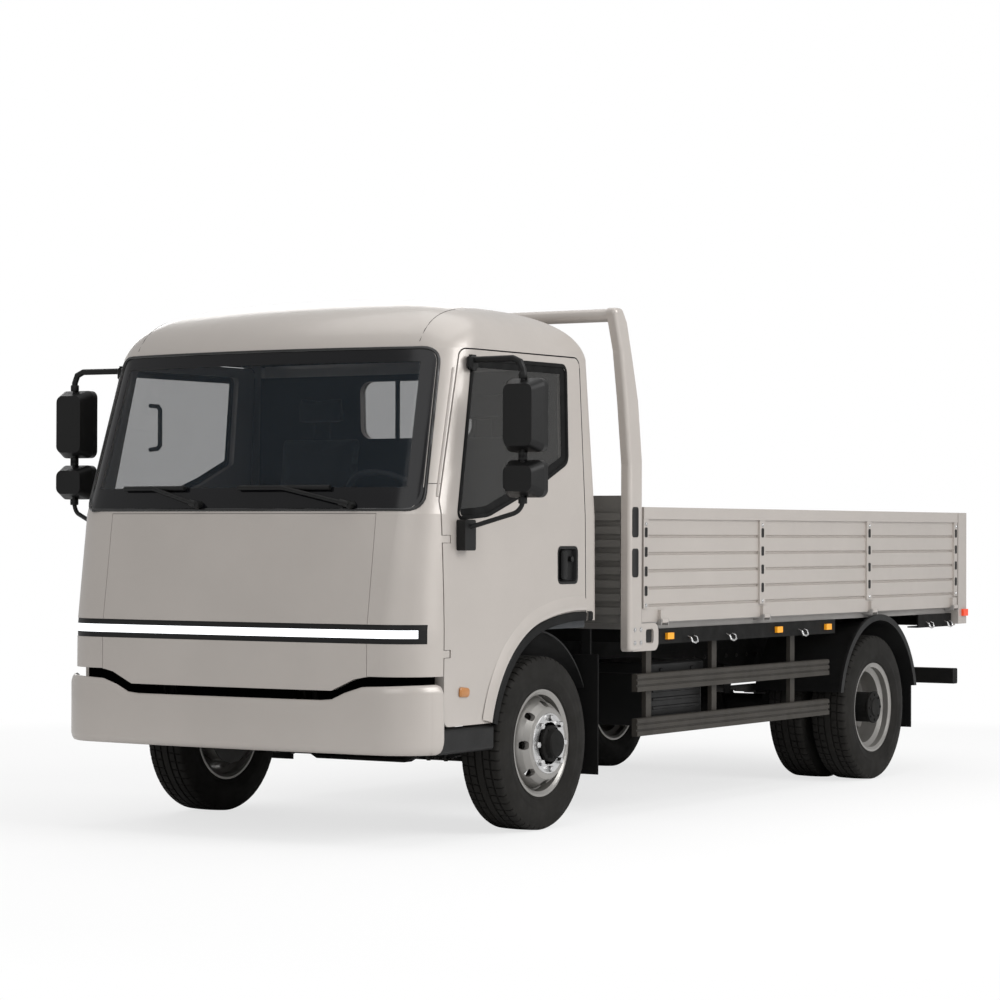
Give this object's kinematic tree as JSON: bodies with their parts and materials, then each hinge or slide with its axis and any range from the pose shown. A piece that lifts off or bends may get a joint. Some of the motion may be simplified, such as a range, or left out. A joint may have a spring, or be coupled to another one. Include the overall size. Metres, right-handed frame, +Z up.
{
  "type": "light cab-over flatbed truck with drop sides",
  "caption": "Light cab-over flatbed truck: tilting cab with hinged doors, steered front wheels, twin rear wheels and a load bed whose sides and tailgate fold down.",
  "frame": {"origin": "on the ground, under the centre of the vehicle's bounding box", "axes": "+Z up, the nose points to -Y, +X is the vehicle's left"},
  "size_m": [2.604, 5.6498, 2.3299],
  "materials": {
    "body_paint": "satin warm light grey paint",
    "chassis_black": "satin black chassis paint",
    "guard_grey": "satin dark brown-grey paint",
    "spring_steel": "dark oxidised steel",
    "cast_metal": "grey castings",
    "deck_steel": "worn grey deck paint",
    "black_plastic": "grained black plastic",
    "interior_dark": "dark moulded interior plastic",
    "rubber_black": "matt black rubber",
    "tyre_rubber": "matt tyre rubber",
    "rim_silver": "silver wheel paint",
    "seat_fabric": "dark woven upholstery",
    "tinted_glass": "tinted safety glass",
    "lamp_white": "bright white light bar lens",
    "lamp_amber": "amber lens",
    "lamp_red": "orange-red lens"
  },
  "bodies": {
    "chassis": {"chassis_frame": "chassis_black", "front_axle": "chassis_black", "rear_axle": "chassis_black", "leaf_springs": "spring_steel", "engine": "cast_metal", "gearbox": "cast_metal", "propeller_shaft": "chassis_black", "fuel_tank": "chassis_black", "battery_box": "black_plastic", "exhaust": "spring_steel", "side_guards": "guard_grey", "rear_underrun_bar": "chassis_black", "rear_fenders": "black_plastic", "front_mudflaps": "rubber_black", "front_bumper": "body_paint", "cab_steps": "black_plastic", "bed_floor": "deck_steel", "bed_frame": "chassis_black", "bed_sleepers": "chassis_black", "headboard_hoop": "body_paint", "bulkhead_panel": "guard_grey", "rear_sill_posts": "body_paint", "tail_lamps": "lamp_red", "side_markers": "lamp_amber"},
    "cab": {"cab_shell": "body_paint", "cab_rear_wall": "body_paint", "cab_roof": "body_paint", "cab_floor": "interior_dark", "front_panel": "body_paint", "light_strip_housing": "black_plastic", "light_strip_lens": "lamp_white", "windshield": "tinted_glass", "rear_window": "tinted_glass", "wipers": "black_plastic", "dashboard": "interior_dark", "steering_wheel": "interior_dark", "seat_plinths": "interior_dark", "seats": "seat_fabric", "arch_liners": "black_plastic"},
    "door_left": {"door_left": "body_paint", "door_glass_left": "tinted_glass", "mirrors_left": "black_plastic"},
    "door_right": {"door_right": "body_paint", "door_glass_right": "tinted_glass", "mirrors_right": "black_plastic"},
    "knuckle_left": {"knuckle_left": "cast_metal"},
    "knuckle_right": {"knuckle_right": "cast_metal"},
    "tie_rod": {"tie_rod": "chassis_black"},
    "wheel_front_left": {"tyre_front_left": "tyre_rubber", "rim_front_left": "rim_silver"},
    "wheel_front_right": {"tyre_front_right": "tyre_rubber", "rim_front_right": "rim_silver"},
    "wheels_rear_left": {"tyres_rear_left": "tyre_rubber", "rims_rear_left": "rim_silver"},
    "wheels_rear_right": {"tyres_rear_right": "tyre_rubber", "rims_rear_right": "rim_silver"},
    "dropside_left": {"dropside_left": "body_paint"},
    "dropside_right": {"dropside_right": "body_paint"},
    "tailgate": {"tailgate": "body_paint"}
  },
  "joints": [
    {"name": "cab_tilt", "type": "hinge", "parent": "chassis", "child": "cab", "pos_m": [0, -2.735, 0.66], "axis": [1, 0, 0], "range_deg": [0, 40]},
    {"name": "door_left_swing", "type": "hinge", "parent": "cab", "child": "door_left", "pos_m": [0.948, -2.54, 1], "axis": [0, 0, -1], "range_deg": [0, 70]},
    {"name": "door_right_swing", "type": "hinge", "parent": "cab", "child": "door_right", "pos_m": [-0.948, -2.54, 1], "axis": [0, 0, 1], "range_deg": [0, 70]},
    {"name": "steer", "type": "hinge", "parent": "chassis", "child": "knuckle_left", "pos_m": [0.7, -1.76, 0.3835], "axis": [0, 0, 1], "range_deg": [-35, 35]},
    {"name": "steer_right", "type": "hinge", "parent": "chassis", "child": "knuckle_right", "pos_m": [-0.7, -1.76, 0.3835], "axis": [0, 0, 1], "range_deg": [-35, 35]},
    {"name": "tie_rod_pivot", "type": "hinge", "parent": "knuckle_left", "child": "tie_rod", "pos_m": [0.7, -1.58, 0.3], "axis": [0, 0, 1], "range_deg": [-35, 35]},
    {"name": "spin_front_left", "type": "hinge", "parent": "knuckle_left", "child": "wheel_front_left", "pos_m": [0.855, -1.76, 0.3835], "axis": [1, 0, 0], "continuous": true},
    {"name": "spin_front_right", "type": "hinge", "parent": "knuckle_right", "child": "wheel_front_right", "pos_m": [-0.855, -1.76, 0.3835], "axis": [1, 0, 0], "continuous": true},
    {"name": "spin_rear_left", "type": "hinge", "parent": "chassis", "child": "wheels_rear_left", "pos_m": [0.79, 1.59, 0.3835], "axis": [1, 0, 0], "continuous": true},
    {"name": "spin_rear_right", "type": "hinge", "parent": "chassis", "child": "wheels_rear_right", "pos_m": [-0.79, 1.59, 0.3835], "axis": [1, 0, 0], "continuous": true},
    {"name": "dropside_left_fold", "type": "hinge", "parent": "chassis", "child": "dropside_left", "pos_m": [1.034, 0, 0.9], "axis": [0, 1, 0], "range_deg": [0, 178]},
    {"name": "dropside_right_fold", "type": "hinge", "parent": "chassis", "child": "dropside_right", "pos_m": [-1.034, 0, 0.9], "axis": [0, -1, 0], "range_deg": [0, 178]},
    {"name": "tailgate_fold", "type": "hinge", "parent": "chassis", "child": "tailgate", "pos_m": [0, 2.814, 0.9], "axis": [-1, 0, 0], "range_deg": [0, 178]}
  ],
  "couplings": [
    {"joint": "steer_right", "follows": "steer", "ratio": 1},
    {"joint": "tie_rod_pivot", "follows": "steer", "ratio": -1}
  ]
}
